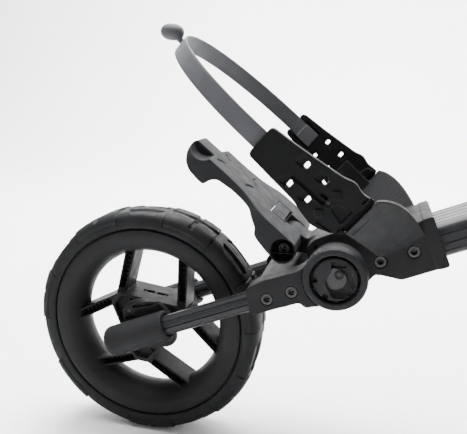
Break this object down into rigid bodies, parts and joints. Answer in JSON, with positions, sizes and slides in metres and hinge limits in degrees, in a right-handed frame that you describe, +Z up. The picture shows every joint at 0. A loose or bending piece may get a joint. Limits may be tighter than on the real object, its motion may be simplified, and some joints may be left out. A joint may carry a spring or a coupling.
{
  "type": "golf push cart front wheel and lower bag bracket",
  "caption": "Front end of a folding golf push cart: wheel on a folding fork, lower bag bracket with strap and folding bag foot.",
  "frame": {"origin": "centre of the cross bolt's bore at the rear end of the lower frame tube, on the cart's centre plane", "axes": "+X to the rear of the cart, +Y across to its right side, +Z up with the cart standing on level ground"},
  "size_m": [0.5712, 0.2462, 0.505],
  "materials": {
    "tyre": "matt moulded rubber",
    "wheel_plastic": "fine moulded texture",
    "black_plastic": "fine moulded texture",
    "cap_plastic": "satin moulded",
    "foot_plastic": "fine moulded texture",
    "anodised_tube": "dark anodised, satin",
    "silicone": "satin silicone",
    "black_screw": "black oxide",
    "steel": "plain steel",
    "bush": "plain acetal"
  },
  "bodies": {
    "frame": {"bracket_body": "black_plastic", "bracket_screws": "black_screw", "fold_bush_left": "bush", "fold_bush_right": "bush", "main_tube": "anodised_tube", "tube_plug": "black_plastic", "wing_left": "black_plastic", "wing_right": "black_plastic", "wing_screws": "black_screw", "strap": "silicone"},
    "fork": {"axle": "steel", "axle_spacer_left": "black_plastic", "axle_spacer_right": "black_plastic", "axle_socket_left": "black_plastic", "axle_socket_right": "black_plastic", "fork_tube_left": "anodised_tube", "fork_tube_right": "anodised_tube", "fork_yoke": "black_plastic", "yoke_screws": "black_screw", "fold_bolt": "steel", "joint_ring_left": "black_plastic", "joint_ring_right": "black_plastic", "joint_cap_left": "cap_plastic", "joint_cap_right": "cap_plastic", "latch_pin": "black_screw"},
    "wheel": {"tyre": "tyre", "wheel_rim": "wheel_plastic", "hub_sleeve": "steel", "hub_bearing_left": "steel", "hub_bearing_right": "steel"},
    "latch": {"axle_latch": "black_plastic"},
    "foot": {"bag_foot": "foot_plastic", "foot_pin": "steel"},
    "foot_tab": {"foot_tab": "foot_plastic"}
  },
  "joints": [
    {"name": "fork_fold", "type": "hinge", "parent": "frame", "child": "fork", "pos_m": [-0.16901, 0, -0.06206], "axis": [0, 1, 0], "range_deg": [-130, 0]},
    {"name": "wheel_spin", "type": "hinge", "parent": "fork", "child": "wheel", "pos_m": [-0.40293, 0, -0.15582], "axis": [0, 1, 0], "continuous": true},
    {"name": "foot_fold", "type": "hinge", "parent": "frame", "child": "foot", "pos_m": [-0.2264, 0, -0.03727], "axis": [0, 1, 0], "range_deg": [0, 84]},
    {"name": "foot_tab_press", "type": "hinge", "parent": "foot", "child": "foot_tab", "pos_m": [-0.24669, 0, -0.00329], "axis": [0, 1, 0], "range_deg": [0, 6], "stiffness_Nm_per_rad": 1},
    {"name": "latch_turn", "type": "hinge", "parent": "fork", "child": "latch", "pos_m": [-0.41415, -0.0499, -0.12896], "axis": [0, -1, 0], "range_deg": [0, 75]}
  ]
}
